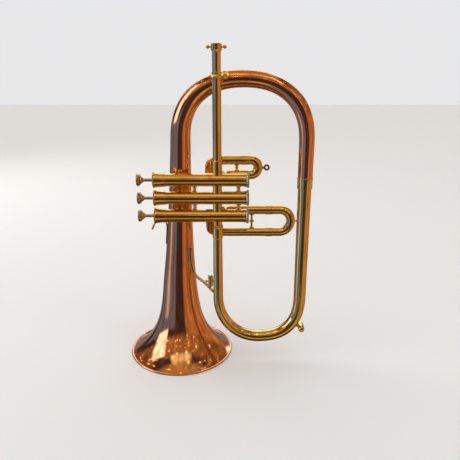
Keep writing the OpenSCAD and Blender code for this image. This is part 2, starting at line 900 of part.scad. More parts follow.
function stem_cx(z) = stem_lean * (z - flare_h) / (stem_top - flare_h);
function stem_left(z) = stem_cx(z) - lookup(z - flare_h, stem_wall);
hook_path = spline([[stem_left(170) - 0.75, 0, 170], [stem_left(180) - 0.8, 0, 180],
  [stem_left(190) - 0.8, 0, 190], [stem_left(198) - 1.1, 0, 198], [-18.4, 0, 204.5],
  [-22.4, -0.4, 208.6], [-27.2, -0.8, 208.4], [-31, -1.2, 205], [-33.2, -1.6, 200.2],
  [-36.7, -2, 192]], 3);
hook_n = len(hook_path);
module pinky_hook() {
  color(yellow)
    rod_path(hook_path,
      [for (i = [0 : hook_n - 1]) lookup(i, [[0, 3.4], [12, 3.2], [20, 2], [hook_n - 1, 1.4]])],
      [for (i = [0 : hook_n - 1]) lookup(i, [[0, 0.6], [9, 0.8], [14, 1.4], [hook_n - 1, 1.4]])],
      Y, 16);
}

// sprung push key that drains the lower loop
key_x = 177.5;
key_z = 48.7;
key_y0 = -29;
module water_key_body() {
  at = loop_pt(141);
  v = [key_x - at[0], 0, key_z - at[2]];
  color(yellow)
    difference() {
      union() {
        translate([key_x, key_y0, key_z])
          rotate([-90, 0, 0])
            turned([[0, 0], [4.1, 0], [4.4, 0.4], [4.4, 12.1], [3.9, 12.8], [3, 13], [0, 13]]);
        translate([at[0], leg_y - 0.3, at[2]])
          rotate([0, atan2(v[0], v[2]), 0])
            translate([0, 0, 8.45])
              cylinder(r = 2.9, h = norm(v) - 8.45);
      }
      translate([key_x, key_y0 - 1, key_z])
        rotate([-90, 0, 0])
          cylinder(r = 2.65, h = 12);
    }
}

module water_key_plunger() {
  color(yellow)
    translate([key_x, key_y0, key_z])
      rotate([-90, 0, 0])
        turned([[0, -6.2], [2, -6], [3.3, -5.4], [4, -4.4], [4, -3.4], [3.6, -2.9], [2.6, -2.9],
          [2.6, 5], [1.3, 5], [1.3, 7.5], [0, 7.5]]);
}

module water_key_spring() {
  n = 40;
  path = [for (k = [0 : n]) [key_x + 1.9 * cos(36 * k), key_y0 + 5.4 + 5.2 * k / n,
    key_z + 1.9 * sin(36 * k)]];
  color(steel)
    rod_path(path, [for (k = [0 : n]) 0.25], [for (k = [0 : n]) 0.25], Y, 6);
}

bell_flare();
bell_stem();
bell_rim_wire();
bell_bow();
bell_ferrule();
main_tube();
outlet_ferrule();
inlet_ferrule();
leadpipe_sleeve();
leadpipe_brace();
mouthpipe();
lock_nut();
lock_handles();
valve_casing_1();
valve_casing_2();
valve_casing_3();
knuckle_12();
knuckle_23();
spools_12();
spools_23();
top_cap_1();
top_cap_2();
top_cap_3();
bottom_cap_1();
bottom_cap_2();
bottom_cap_3();
piston_1();
piston_2();
piston_3();
stem_1();
stem_2();
stem_3();
button_1();
button_2();
button_3();
piston_spring_1();
piston_spring_2();
piston_spring_3();
first_sleeve_upper();
first_sleeve_lower();
first_slide_brace();
first_crook();
first_pull_ring();
second_sleeves();
second_crook();
second_knob();
third_sleeve_upper();
third_sleeve_lower();
third_slide_brace();
third_crook();
third_knob();
bell_stays();
s_brace();
lyre_socket();
lyre_screw();
pinky_hook();
water_key_body();
water_key_plunger();
water_key_spring();
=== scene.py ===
import math
import bpy
import numpy as np
from mathutils import Matrix


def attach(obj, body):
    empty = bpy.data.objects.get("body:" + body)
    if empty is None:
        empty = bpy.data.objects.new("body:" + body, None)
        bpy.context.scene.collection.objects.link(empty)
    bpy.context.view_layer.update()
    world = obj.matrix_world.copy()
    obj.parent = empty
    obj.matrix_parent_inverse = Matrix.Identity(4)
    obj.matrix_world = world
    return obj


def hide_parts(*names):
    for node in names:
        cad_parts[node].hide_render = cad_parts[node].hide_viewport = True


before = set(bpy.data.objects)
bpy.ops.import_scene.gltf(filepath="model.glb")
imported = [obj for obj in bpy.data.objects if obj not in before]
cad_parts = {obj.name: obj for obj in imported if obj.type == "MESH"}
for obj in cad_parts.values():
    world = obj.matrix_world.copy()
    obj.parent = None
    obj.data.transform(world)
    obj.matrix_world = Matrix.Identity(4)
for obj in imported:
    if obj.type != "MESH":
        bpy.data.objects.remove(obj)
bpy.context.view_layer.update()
mm = 0.001  # every dictionary below is in millimetres


class Sock:
    # wraps one output socket so that sums and products read as plain Python
    def __init__(self, nodes, out):
        self.nodes, self.out = nodes, out

    def join(self, op, other, swap=False):
        a, b = (other, self) if swap else (self, other)
        return self.nodes.add("ShaderNodeMath", {"operation": op}, {0: a, 1: b})

    def __add__(self, o): return self.join("ADD", o)
    def __radd__(self, o): return self.join("ADD", o, True)
    def __sub__(self, o): return self.join("SUBTRACT", o)
    def __rsub__(self, o): return self.join("SUBTRACT", o, True)
    def __mul__(self, o): return self.join("MULTIPLY", o)


class Nodes:
    # builds one node tree
    def __init__(self, tree):
        self.tree = tree
        tree.nodes.clear()

    def add(self, kind, settings, sockets, out=0):
        n = self.tree.nodes.new(kind)
        for key, value in settings.items():
            setattr(n, key, value)
        for key, value in sockets.items():
            if isinstance(value, Sock):
                self.tree.links.new(value.out, n.inputs[key])
            else:
                n.inputs[key].default_value = value
        return Sock(self, n.outputs[out])

    def noise(self, where, scale, detail=3.0, rough=0.5):
        return self.add("ShaderNodeTexNoise", {},
                        {"Vector": where, "Scale": scale, "Detail": detail, "Roughness": rough})

    def span(self, value, low, high, a=0.0, b=1.0, kind="LINEAR"):
        # carries low..high onto a..b and stops there
        return self.add("ShaderNodeMapRange", {"interpolation_type": kind},
                        {"Value": value, 1: low, 2: high, 3: a, 4: b})

    def blend(self, factor, a, b, kind="MIX"):
        return self.add("ShaderNodeMix", {"data_type": "RGBA", "blend_type": kind}, {0: factor, 6: a, 7: b}, 2)

    def finish(self, shader, kind="ShaderNodeOutputMaterial"):
        out = self.tree.nodes.new(kind)
        self.tree.links.new(shader.out, out.inputs[0])


def newSkin(name):
    skin = bpy.data.materials.new(name)
    skin.use_nodes = True
    return skin, Nodes(skin.node_tree)


def polishedMetal(name, look):
    # lacquered metal: the base tone drifts between deep and bright with slow noise, a tarnish
    # tone gathers in patches and along the buffing lines, and buffing leaves fine
    # lines in the roughness: rough = base + lines * depth + grain * depth + patch * 0.12
    skin, n = newSkin(name)
    place = n.add("ShaderNodeTexCoord", {}, {}, "Object")
    drift = n.span(n.noise(place, look["driftScale"], 2.0), 0.35, 0.8)
    patch = n.span(n.noise(place, look["patchScale"], 4.0, 0.6), 0.56, 0.72, 0.0, look["patchDepth"])
    grain = n.noise(place, look["grainScale"], 5.0, 0.65)
    along = n.add("ShaderNodeMapping", {}, {"Vector": place, "Scale": look["buffStretch"]})
    lines = n.noise(along, look["buffScale"], 3.0, 0.6)
    wave = n.noise(place, look["waveScale"], 1.0)
    tone = n.blend(patch, n.blend(drift, look["deep"], look["bright"]), look["tarnish"])
    tone = n.blend(n.span(lines, 0.5, 0.75, 0.0, look["lineTone"]), tone, look["tarnish"])
    rough = look["rough"] + (lines - 0.5) * look["lineDepth"] + (grain - 0.5) * look["grainDepth"] \
        + patch * 0.12
    sheet = n.add("ShaderNodeBump", {}, {"Strength": look["waveBump"], "Distance": 0.0006, "Height": wave})
    buffed = n.add("ShaderNodeBump", {}, {"Strength": look["fineBump"], "Distance": 0.00004,
                                          "Height": lines + grain * 0.5, "Normal": sheet})
    n.finish(n.add("ShaderNodeBsdfPrincipled", {}, {
        "Base Color": tone, "Metallic": 1.0, "Roughness": n.span(rough, 0.03, 1.0, 0.03, 1.0),
        "Normal": buffed, "Coat Weight": look["coat"], "Coat Roughness": 0.04}))
    return skin


copperLook = dict(bright=(0.88, 0.49, 0.33, 1), deep=(0.8, 0.4, 0.24, 1), tarnish=(0.4, 0.15, 0.08, 1),
                  driftScale=9.0, patchScale=34.0, patchDepth=0.3, grainScale=900.0, grainDepth=0.05,
                  buffScale=150.0, buffStretch=(1, 1, 0.06), lineDepth=0.07, lineTone=0.3, rough=0.1,
                  waveScale=26.0, waveBump=0.2, fineBump=0.2, coat=0.25)
yellowLook = dict(bright=(0.9, 0.68, 0.3, 1), deep=(0.8, 0.56, 0.19, 1), tarnish=(0.36, 0.2, 0.06, 1),
                  driftScale=14.0, patchScale=60.0, patchDepth=0.35, grainScale=1200.0, grainDepth=0.06,
                  buffScale=260.0, buffStretch=(0.09, 1, 1), lineDepth=0.08, lineTone=0.35, rough=0.11,
                  waveScale=70.0, waveBump=0.14, fineBump=0.22, coat=0.2)
paleLook = dict(yellowLook, bright=(0.88, 0.74, 0.4, 1), deep=(0.78, 0.62, 0.28, 1),
                tarnish=(0.38, 0.27, 0.1, 1), buffStretch=(1, 1, 0.09), rough=0.09)
nickelLook = dict(yellowLook, bright=(0.78, 0.74, 0.68, 1), deep=(0.66, 0.6, 0.52, 1),
                  tarnish=(0.34, 0.26, 0.17, 1), patchDepth=0.5, rough=0.16, coat=0.0)
steelLook = dict(yellowLook, bright=(0.66, 0.66, 0.68, 1), deep=(0.54, 0.53, 0.54, 1),
                 tarnish=(0.28, 0.26, 0.24, 1), patchDepth=0.3, rough=0.18, coat=0.0)
buttonLook = dict(nickelLook, bright=(0.66, 0.56, 0.44, 1), deep=(0.5, 0.4, 0.28, 1),
                  tarnish=(0.2, 0.13, 0.08, 1), patchScale=240.0, patchDepth=0.7, rough=0.2)

copperSkin = polishedMetal("copperSkin", copperLook)
yellowSkin = polishedMetal("yellowBrass", yellowLook)
paleSkin = polishedMetal("paleBrass", paleLook)
nickelSkin = polishedMetal("nickelSilver", nickelLook)
steelSkin = polishedMetal("honedSteel", steelLook)
buttonSkin = polishedMetal("buttonMetal", buttonLook)
print("finishes made")


def shellOf(grid, ring):
    # one skin from a grid (rows, columns, 3): columns always close on themselves, rows close
    # too when ring is true; otherwise the first and last rows are single points at the tips
    n, m = grid.shape[:2]
    number = np.arange(n * m).reshape(n, m)
    if ring:
        rows = np.concatenate([number, number[:1]])
        used = np.ones(n * m, bool)
    else:
        number[0], number[-1] = number[0, 0], number[-1, 0]
        rows = number
        used = np.zeros(n * m, bool)
        used[np.unique(number)] = True
    a, d = rows[:-1], rows[1:]
    quads = np.stack([a, np.roll(a, -1, 1), np.roll(d, -1, 1), d], -1)
    if ring:
        four, three = quads.reshape(-1, 4), np.zeros((0, 3), int)
    else:
        four = quads[1:-1].reshape(-1, 4)
        three = np.concatenate([quads[0][:, [0, 2, 3]], quads[-1][:, [0, 1, 2]]])
    renumber = np.cumsum(used) - 1
    verts = grid.reshape(-1, 3)[used]
    four, three = renumber[four], renumber[three]
    # signed volume = sum of a . (b x c) / 6; a negative one means the faces look inwards
    tris = np.concatenate([four[:, :3], four[:, [0, 2, 3]], three])
    p = verts[tris] - verts.mean(0)
    if (p[:, 0] * np.cross(p[:, 1], p[:, 2])).sum() < 0:
        four, three = four[:, ::-1], three[:, ::-1]
    return verts, four, three


def piece(name, shells, skin, body, nodes):
    # one object out of several skins, given in millimetres, riding on a CAD body
    verts, four, three, start = [], [], [], 0
    for grid, ring in shells:
        v, q, t = shellOf(grid, ring)
        verts.append(v)
        four.append(q + start)
        three.append(t + start)
        start += len(v)
    verts, four, three = (np.concatenate(x) for x in (verts, four, three))
    me = bpy.data.meshes.new(name)
    me.vertices.add(len(verts))
    me.vertices.foreach_set("co", (verts * mm).astype(np.float32).ravel())
    loops = np.concatenate([four.ravel(), three.ravel()]).astype(np.int32)
    starts = np.concatenate([np.arange(len(four)) * 4, len(four) * 4 + np.arange(len(three)) * 3])
    me.loops.add(len(loops))
    me.loops.foreach_set("vertex_index", loops)
    me.polygons.add(len(starts))
    me.polygons.foreach_set("loop_start", starts.astype(np.int32))
    me.polygons.foreach_set("use_smooth", np.ones(len(starts), bool))
    me.update(calc_edges=True)
    if me.validate():
        print("repaired", name)
    me.materials.append(skin)
    obj = bpy.data.objects.new(name, me)
    bpy.context.scene.collection.objects.link(obj)
    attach(obj, body)
    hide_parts(*nodes)
    return obj


def soften(outline, radius, steps=4):
    # each corner of the outline is swapped for a small arc with a support point either side, so
    # broad faces stay flat under smooth shading; ends lying on the axis are left alone
    p = np.asarray(outline, float)
    a, c = np.roll(p, 1, 0), np.roll(p, -1, 0)
    u, v = a - p, c - p
    lu, lv = np.linalg.norm(u, axis=1, keepdims=True), np.linalg.norm(v, axis=1, keepdims=True)
    u, v = u / np.maximum(lu, 1e-9), v / np.maximum(lv, 1e-9)
    half = np.arccos(np.clip((u * v).sum(1), -1, 1)) / 2
    cut = np.minimum(radius / np.tan(np.maximum(half, 0.05)), 0.42 * np.minimum(lu, lv)[:, 0])[:, None]
    t = np.linspace(0, 1, steps + 1)[None, :, None]
    s, e = (p + u * cut)[:, None], (p + v * cut)[:, None]
    arc = (1 - t) ** 2 * s + 2 * t * (1 - t) * p[:, None] + t ** 2 * e
    out = np.concatenate([(p + u * cut * 1.15)[:, None], arc, (p + v * cut * 1.15)[:, None]], 1)
    if p[0, 0] == 0:
        return np.concatenate([p[:1], out[1:-1].reshape(-1, 2), p[-1:]])
    return out.reshape(-1, 2)


def basis(axis):
    # two unit vectors square to the axis
    w = np.asarray(axis, float) / np.linalg.norm(axis)
    ref = np.array([0, 1, 0]) if abs(w[1]) < 0.9 else np.array([0, 0, 1])
    u = np.cross(ref, w)
    u /= np.linalg.norm(u)
    return u, np.cross(w, u), w


def turned(outline, centre, axis=(0, 0, 1), turns=64, soft=0.25, knurl=None):
    # outline of (radius, height) carried once round the axis; it is a solid when both ends of
    # the outline lie on the axis. knurl = (low, high, teeth, depth) ripples the radius between
    # two heights: r - depth * (1 - cos(teeth * angle)) / 2
    p = soften(outline, soft) if soft else np.asarray(outline, float)
    u, v, w = basis(axis)
    t = np.linspace(0, 2 * math.pi, turns, endpoint=False)
    spin = np.cos(t)[:, None] * u + np.sin(t)[:, None] * v
    r = np.repeat(p[:, :1], turns, 1)
    if knurl:
        low, high, teeth, depth = knurl
        near = np.clip(np.minimum(p[:, 1] - low, high - p[:, 1]) / 0.2, 0, 1)[:, None]
        r = r - near * depth * (1 - np.cos(teeth * t))[None] / 2
    grid = r[:, :, None] * spin[None] + p[:, 1][:, None, None] * w + np.asarray(centre, float)
    return grid, p[0, 0] > 0


def saddle(shell, centre, out, start, stop, r=8.32):
    # shapes the end of a branch to the casing it meets, whose axis runs along X through centre:
    # at sideways offset b the branch begins at height sqrt(r^2 - b^2) instead of at start, and
    # heights between start and stop are shared out evenly
    grid, ring = shell
    out = np.asarray(out, float) / np.linalg.norm(out)
    q = grid - np.asarray(centre, float)
    h, b = q @ out, q @ np.cross(out, [1.0, 0, 0])
    low = np.sqrt(np.maximum(r * r - b * b, 0))
    near = h < stop
    share = np.clip((h - start) / (stop - start), 0, 1)
    return grid + np.where(near, low + share * (stop - low) - h, 0)[:, :, None] * out, ring


def even(s, n):
    # the same polyline with n points at equal spacing along it
    d = np.r_[0, np.cumsum(np.linalg.norm(np.diff(s, axis=0), axis=1))]
    f = np.linspace(0, d[-1], n)
    return np.stack([np.interp(f, d, s[:, k]) for k in range(s.shape[1])], 1)


def smoothPath(points, n):
    # Catmull-Rom curve through the points, spaced evenly along its length
    p = np.asarray(points, float)
    q = np.vstack([2 * p[0] - p[1], p, 2 * p[-1] - p[-2]])
    t = np.linspace(0, 1, 24, endpoint=False)[None, :, None]
    a, b, c, d = q[:-3, None], q[1:-2, None], q[2:-1, None], q[3:, None]
    s = 0.5 * (2 * b + (c - a) * t + (2 * a - 5 * b + 4 * c - d) * t ** 2 + (3 * b - a - 3 * c + d) * t ** 3)
    return even(np.vstack([s.reshape(-1, p.shape[1]), p[-1:]]), n)


def frames(path, ref):
    # tangent and two side vectors at each point, kept square to a reference direction
    t = np.gradient(path, axis=0)
    t /= np.linalg.norm(t, axis=1, keepdims=True)
    ref = np.broadcast_to(np.asarray(ref, float), t.shape)
    u = ref - (ref * t).sum(1, keepdims=True) * t
    u /= np.linalg.norm(u, axis=1, keepdims=True)
    return t, u, np.cross(t, u)


def ringsAlong(path, ru, rv, ref, turns):
    # an ellipse with half widths ru and rv carried along the path
    t, u, v = frames(path, ref)
    a = np.linspace(0, 2 * math.pi, turns, endpoint=False)
    ru, rv = np.broadcast_to(ru, len(path)), np.broadcast_to(rv, len(path))
    return path[:, None] + ru[:, None, None] * np.cos(a)[None, :, None] * u[:, None] \
        + rv[:, None, None] * np.sin(a)[None, :, None] * v[:, None]


def tube(path, outer, wall, ref, turns=72):
    # outer rings one way, inner rings back again, with a narrow lip at each end
    outer = np.broadcast_to(outer, len(path))
    o = ringsAlong(path, outer, outer, ref, turns)
    w = ringsAlong(path, outer - wall, outer - wall, ref, turns)
    lip = [o[:1] * 0.97 + w[:1] * 0.03, o, o[-1:] * 0.97 + w[-1:] * 0.03,
           o[-1:] * 0.03 + w[-1:] * 0.97, w[::-1], o[:1] * 0.03 + w[:1] * 0.97]
    return np.concatenate(lip), True


def rod(path, ru, rv, ref, turns=32, cap=0.5):
    # solid bar with rounded ends: the rings shrink to a point over a short dome
    ru, rv = np.broadcast_to(ru, len(path)).astype(float), np.broadcast_to(rv, len(path)).astype(float)
    a = np.linspace(0, math.pi / 2, 7)[1:, None, None]
    t, _, _ = frames(path, ref)
    bar = ringsAlong(path, ru, rv, ref, turns)
    end = path[-1] + (bar[-1] - path[-1])[None] * np.cos(a) + t[-1] * rv[-1] * cap * np.sin(a)
    start = path[0] + (bar[0] - path[0])[None] * np.cos(a) - t[0] * rv[0] * cap * np.sin(a)
    return np.concatenate([start[::-1], bar, end]), False


bell = dict(rim=76.0, wire=1.3, wall=0.7, flareTop=112.0, stemTop=318.0, lean=7.0, bowTop=397.0,
            fullness=2.3, legX=174.0, legY=-22.0, legEnd=264.0, legEndR=9.85, turns=144,
            flareZ=[1.2, 4, 7, 10, 15, 22.7, 33, 43.2, 53.4, 63.4, 73.4, 93.1, 112],
            flareR=[74.4, 69.3, 65, 61.2, 55.7, 49, 41.9, 37, 33.3, 30.6, 28.6, 25.9, 24.2],
            stemZ=[112, 131.6, 155, 187, 224, 262, 290, 318],
            stemR=[24.2, 22.3, 20.3, 18.3, 16.5, 14.95, 14.2, 13.65],
            bowAt=[0, 0.12, 0.3, 0.5, 0.75, 1], bowR=[13.6, 13.15, 12.1, 11.2, 10.6, 10.05])


def superBend(x0, x1, y0, y1, z0, rise, left, right, steps=900):
    # superellipse arch |x/a|^n + |z/b|^n = 1, with its own fullness n on each side, in a plane
    # that slants from depth y0 to y1
    t = np.linspace(0, math.pi, steps)
    n = np.where(t < math.pi / 2, left, right)
    c, s = np.cos(t), np.sin(t)
    x = (x0 + x1) / 2 - (x1 - x0) / 2 * np.sign(c) * np.abs(c) ** (2 / n)
    z = z0 + rise * np.maximum(s, 0) ** (2 / n)
    return np.stack([x, y0 + (y1 - y0) * (x - x0) / (x1 - x0), z], 1)


def calm(values, reach):
    # moving average that leaves both ends where they are
    k = np.ones(2 * reach + 1) / (2 * reach + 1)
    before = 2 * values[:1] - values[reach:0:-1]
    after = 2 * values[-1:] - values[-2:-reach - 2:-1]
    pad = np.concatenate([before, values, after])
    return np.stack([np.convolve(pad[:, i], k, "valid") for i in range(values.shape[1])], 1)


def bellLine(b):
    # centreline and radius from the rim to the far leg, one row per ring
    flareZ = np.r_[np.linspace(b["flareZ"][0], 12, 24), np.linspace(13, b["flareTop"], 100)]
    flare = smoothPath(np.stack([b["flareZ"], b["flareR"]], 1), 600)
    stemZ = np.linspace(b["flareTop"] + 1, b["stemTop"], 206)
    stem = smoothPath(np.stack([b["stemZ"], b["stemR"]], 1), 400)
    stemX = b["lean"] * (stemZ - b["flareTop"]) / (b["stemTop"] - b["flareTop"])
    bow = even(superBend(b["lean"], b["legX"], 0, b["legY"], b["stemTop"], b["bowTop"] - b["stemTop"],
                         b["fullness"], b["fullness"]), 260)[1:]
    legZ = np.linspace(b["stemTop"] - 1, b["legEnd"], 54)
    path = np.concatenate([np.stack([0 * flareZ, 0 * flareZ, flareZ], 1),
                           np.stack([stemX, 0 * stemZ, stemZ], 1), bow,
                           np.stack([0 * legZ + b["legX"], 0 * legZ + b["legY"], legZ], 1)])
    r = np.concatenate([np.interp(flareZ, flare[:, 0], flare[:, 1]),
                        np.interp(stemZ, stem[:, 0], stem[:, 1]),
                        np.interp(np.linspace(0, 1, len(bow)), b["bowAt"], b["bowR"]),
                        np.linspace(b["bowR"][-1], b["legEndR"], len(legZ))])
    line = np.concatenate([path, r[:, None]], 1)
    return np.concatenate([line[:40], calm(line, 9)[40:]])


def makeBell(b):
    # the wall's inner radius keeps the sheet's thickness measured square to the flare:
    # inner = r - wall * sqrt(1 + slope^2)
    line = bellLine(b)
    path, r = line[:, :3], line[:, 3]
    slope = np.gradient(r) / np.linalg.norm(np.gradient(path, axis=0), axis=1)
    inner = r - b["wall"] * np.sqrt(1 + np.minimum(slope ** 2, 4))
    ref = np.array([-b["legY"], b["legX"] - b["lean"], 0.0])
    o = ringsAlong(path, r, r, ref, b["turns"])
    w = ringsAlong(path, inner, inner, ref, b["turns"])
    grid = np.concatenate([o, o[-1:] * 0.5 + w[-1:] * 0.5, w[::-1], o[:1] * 0.5 + w[:1] * 0.5])
    piece("bellAndBow", [(grid, True)], copperSkin, "horn",
          ["bell_flare", "bell_stem", "bell_bow"])
    # the rolled rim is a round wire, flattened where it stands
    t = np.linspace(0, 2 * math.pi, 28, endpoint=False)
    wire = np.stack([b["rim"] - b["wire"] + b["wire"] * np.cos(t),
                     np.maximum(b["wire"] - 0.15 + b["wire"] * np.sin(t), 0)], 1)
    piece("rimWire", [turned(wire, (0, 0, 0), turns=192, soft=0)], copperSkin, "horn",
          ["bell_rim_wire"])


makeBell(bell)
print("bell made")

mainTube = dict(x0=57.0, y0=-30.0, x1=174.0, y1=-22.0, start=98.7, low=35.0, left=2.0, right=2.6,
                top0=204.0, top1=262.8, wall=0.7, turns=96,
                downR=[[98.7, 135, 170, 204], [7, 6.7, 6.4, 6.1]], loopR=[7, 8.2, 8.6], upR=[8.6, 9.0],
                bellFerrule=[[9.02, 255.5], [9.9, 255.5], [10.2, 256], [10.2, 268.4], [10.65, 268.8],
                             [10.65, 270.2], [10.3, 270.6], [9.9, 270.6], [9.9, 263.6], [9.02, 263.6]],
                outlet=[[5.2, 204.2], [5.2, 213], [6.12, 213], [6.12, 207.4], [6.7, 206.9], [7.4, 206.2],
                        [7.5, 205.2], [7.2, 204.2], [6.95, 203], [6.95, 189.2], [6.8, 188.2], [6.45, 188.2],
                        [6.2, 204.2]],
                outletOn=220.1, outletSeat=(7.1, 12))


def makeMainTube(m):
    down = np.linspace(m["top0"], m["start"] + 1, 105)
    loop = even(superBend(m["x0"], m["x1"], m["y0"], m["y1"], m["start"], m["low"] - m["start"],
                          m["left"], m["right"]), 200)
    up = np.linspace(m["start"] + 1, m["top1"], 164)
    path = np.concatenate([np.stack([0 * down + m["x0"], 0 * down + m["y0"], down], 1), loop,
                           np.stack([0 * up + m["x1"], 0 * up + m["y1"], up], 1)])
    r = np.concatenate([np.interp(down, *m["downR"]),
                        np.interp(np.linspace(0, 1, len(loop)), [0, 0.5, 1], m["loopR"]),
                        np.interp(up, [m["start"], m["top1"]], m["upR"])])
    line = calm(np.concatenate([path, r[:, None]], 1), 7)
    ref = np.array([m["y0"] - m["y1"], m["x1"] - m["x0"], 0.0])
    piece("mainTube", [tube(line[:, :3], line[:, 3], m["wall"], ref, m["turns"])], paleSkin, "horn",
          ["main_tube"])
    piece("bellFerrule", [turned(m["bellFerrule"], (m["x1"], m["y1"], 0), turns=96)], paleSkin, "horn",
          ["bell_ferrule"])
    outlet = saddle(turned(m["outlet"], (m["x0"], m["y0"], 0), turns=80), (0, m["y0"], m["outletOn"]),
                    (0, 0, -1), *m["outletSeat"])
    piece("outletFerrule", [outlet], yellowSkin, "horn", ["outlet_ferrule"])


makeMainTube(mainTube)

leadpipe = dict(x=57.0, y=-30.0, ringZ=399.2, gripZ=433.9,
                ferrule=[[5.2, 276], [6.1, 276], [6.1, 279.6], [6.4, 280.2], [6.4, 294.2], [6.1, 295.1],
                         [5.78, 295.1], [5.78, 284], [5.2, 284]], ferruleOn=269.1, ferruleSeat=(6.9, 10),
                sleeve=[[4.65, 284.2], [5.74, 284.2], [5.74, 402], [5.5, 405], [5.5, 428.2], [5.15, 428.2],
                        [5.15, 434], [4.65, 434]],
                collar=[[5.76, 396.9], [7.6, 396.9], [8.5, 397.6], [8.9, 399.2], [8.5, 400.8], [7.6, 401.6],
                        [6.4, 401.8], [6.4, 404.4], [6, 405], [5.76, 405]],
                flangeAt=[67.3, -20.1, 400.9], flangeOut=[-0.06, -0.9, 0.4],
                flange=[[0, -1.6], [5.5, -1.6], [5.5, 0.6], [5, 1.1], [3.2, 1.5], [0, 1.7]],
                inner=[[3.6, 345], [4.6, 345], [4.6, 437.7], [4.45, 438.1], [4.25, 438.1], [4.2, 437.6],
                       [4.2, 416], [3.6, 398]],
                nut=[[5.2, 428.5], [5.9, 428.5], [6.7, 430.5], [6.7, 437.2], [6.2, 437.9], [4.65, 437.9],
                     [4.65, 434.3], [5.2, 434.3]], slit=[-116, 0.35, 430.6],
                handle=[[0, 5.6], [1.35, 5.6], [1.35, 7], [1, 7.6], [0.95, 8.2]], ball=[2.35, 10.4])


def slitNut(outline, centre, slit, turns=90):
    # the nut as a C: the outline is carried from one side of the slit round to the other,
    # then closed flat across each cut face
    p = soften(outline, 0.25)
    gap = slit[1] / 5.6
    t = math.radians(slit[0]) + np.linspace(gap, 2 * math.pi - gap, turns)
    spin = np.stack([np.cos(t), np.sin(t), 0 * t], 1)
    rings = p[None, :, :1] * spin[:, None] + p[None, :, 1:] * np.array([0, 0, 1.0]) + np.asarray(centre, float)
    tip = rings.mean(1, keepdims=True)
    near = [tip[:1] + 0 * rings[:1], tip[:1] + (rings[:1] - tip[:1]) * 0.97]
    far = [tip[-1:] + (rings[-1:] - tip[-1:]) * 0.97, tip[-1:] + 0 * rings[-1:]]
    return np.concatenate(near + [rings] + far), False


def makeLeadpipe(p):
    axis = (p["x"], p["y"], 0)
    inlet = saddle(turned(p["ferrule"], axis), (0, p["y"], p["ferruleOn"]), (0, 0, 1), *p["ferruleSeat"])
    piece("inletFerrule", [inlet], yellowSkin, "horn", ["inlet_ferrule"])
    piece("leadpipeSleeve", [turned(p["sleeve"], axis, soft=0.15)], paleSkin, "horn",
          ["leadpipe_sleeve"])
    at, out = np.array(p["flangeAt"]), np.array(p["flangeOut"])
    base = np.array([p["x"], p["y"], p["ringZ"]])
    strut = np.linspace(base + (at - base) * 0.42, at, 12)
    piece("leadpipeBrace", [turned(p["collar"], axis), rod(strut, 2.2, 2.2, (0, 0, 1)),
                            turned(p["flange"], at, out, 72)], yellowSkin, "horn",
          ["leadpipe_brace"])
    piece("mouthpipe", [turned(p["inner"], axis, soft=0.12)], paleSkin, "mouthpipe",
          ["mouthpipe"])
    piece("lockNut", [slitNut(p["nut"], axis, p["slit"])], yellowSkin, "lock_nut",
          ["lock_nut"])
    r, h = p["ball"]
    knobEnd = p["handle"] + [[r * math.sin(a), h - r * math.cos(a)] for a in np.linspace(0.42, 3.05, 22)] \
        + [[0, h + r]]
    grip = (p["x"], p["y"], p["gripZ"])
    piece("lockHandles", [turned(knobEnd, grip, (s, 0, 0), 48, 0) for s in (-1, 1)], yellowSkin, "lock_nut",
          ["lock_handles"])


makeLeadpipe(leadpipe)
print("leadpipe made")

valve = dict(y=-30.0, z=[269.1, 244.6, 220.1], laneX=57.0,
             wall=[[7.95, -25], [8.7, -25], [8.7, 96], [7.95, 96]], bandX=(-13.2, 91.3),
             band=[[8.4, 0], [9.05, 0.1], [9.05, 1.3], [8.4, 1.4]],
             top=[[2.9, -28], [9.8, -28], [10.7, -27.5], [10.8, -26.8], [10.5, -25.9], [10.15, -24.4],
                  [9.85, -22.2], [9.55, -19.4], [9.3, -16.4], [9.15, -13.4], [8.73, -13.4], [8.73, -25.1],
                  [2.9, -25.1]], topKnurl=(-27.8, -26.2, 60, 0.35),
             bottom=[[8.73, 92.9], [9.3, 92.9], [9.2, 94.4], [9.5, 95.6], [10.3, 96.4], [10.6, 97.1],
                     [10.6, 98.2], [10.1, 98.8], [9.2, 99], [7.4, 99], [6.6, 98.3], [2, 98.3], [2, 96.2],
                     [8.73, 96.2]], bottomKnurl=(95.9, 98.5, 56, 0.4),
             button=[[0, -48.9], [5.9, -48.9], [6.6, -49.5], [7.4, -49.5], [8.1, -48.7], [8.2, -47.4],
                     [7.8, -46.2], [6.9, -45.2], [5.6, -44.2], [4.5, -43.2], [4, -42.2], [3.6, -41.3],
                     [3.3, -41], [2.33, -41], [2.33, -45.6], [0, -45.6]],
             stem=[[0, -45.5], [2.3, -45.5], [2.3, 14], [0, 14]],
             knuckle=[[5.2, 6], [6.1, 6], [6.1, 18.5], [5.2, 18.5]], spoolX=(26.6, 85.0),
             spool=[[0, 6], [3.5, 6], [3.5, 9.3], [2.8, 9.8], [1.8, 10.4], [1.8, 10.8], [2.6, 11.3],
                    [2.95, 12.25], [2.6, 13.2], [1.8, 13.7], [1.8, 14.1], [2.8, 14.7], [3.5, 15.2],
                    [3.5, 18.5], [0, 18.5]], linkSeat=(6, 9))


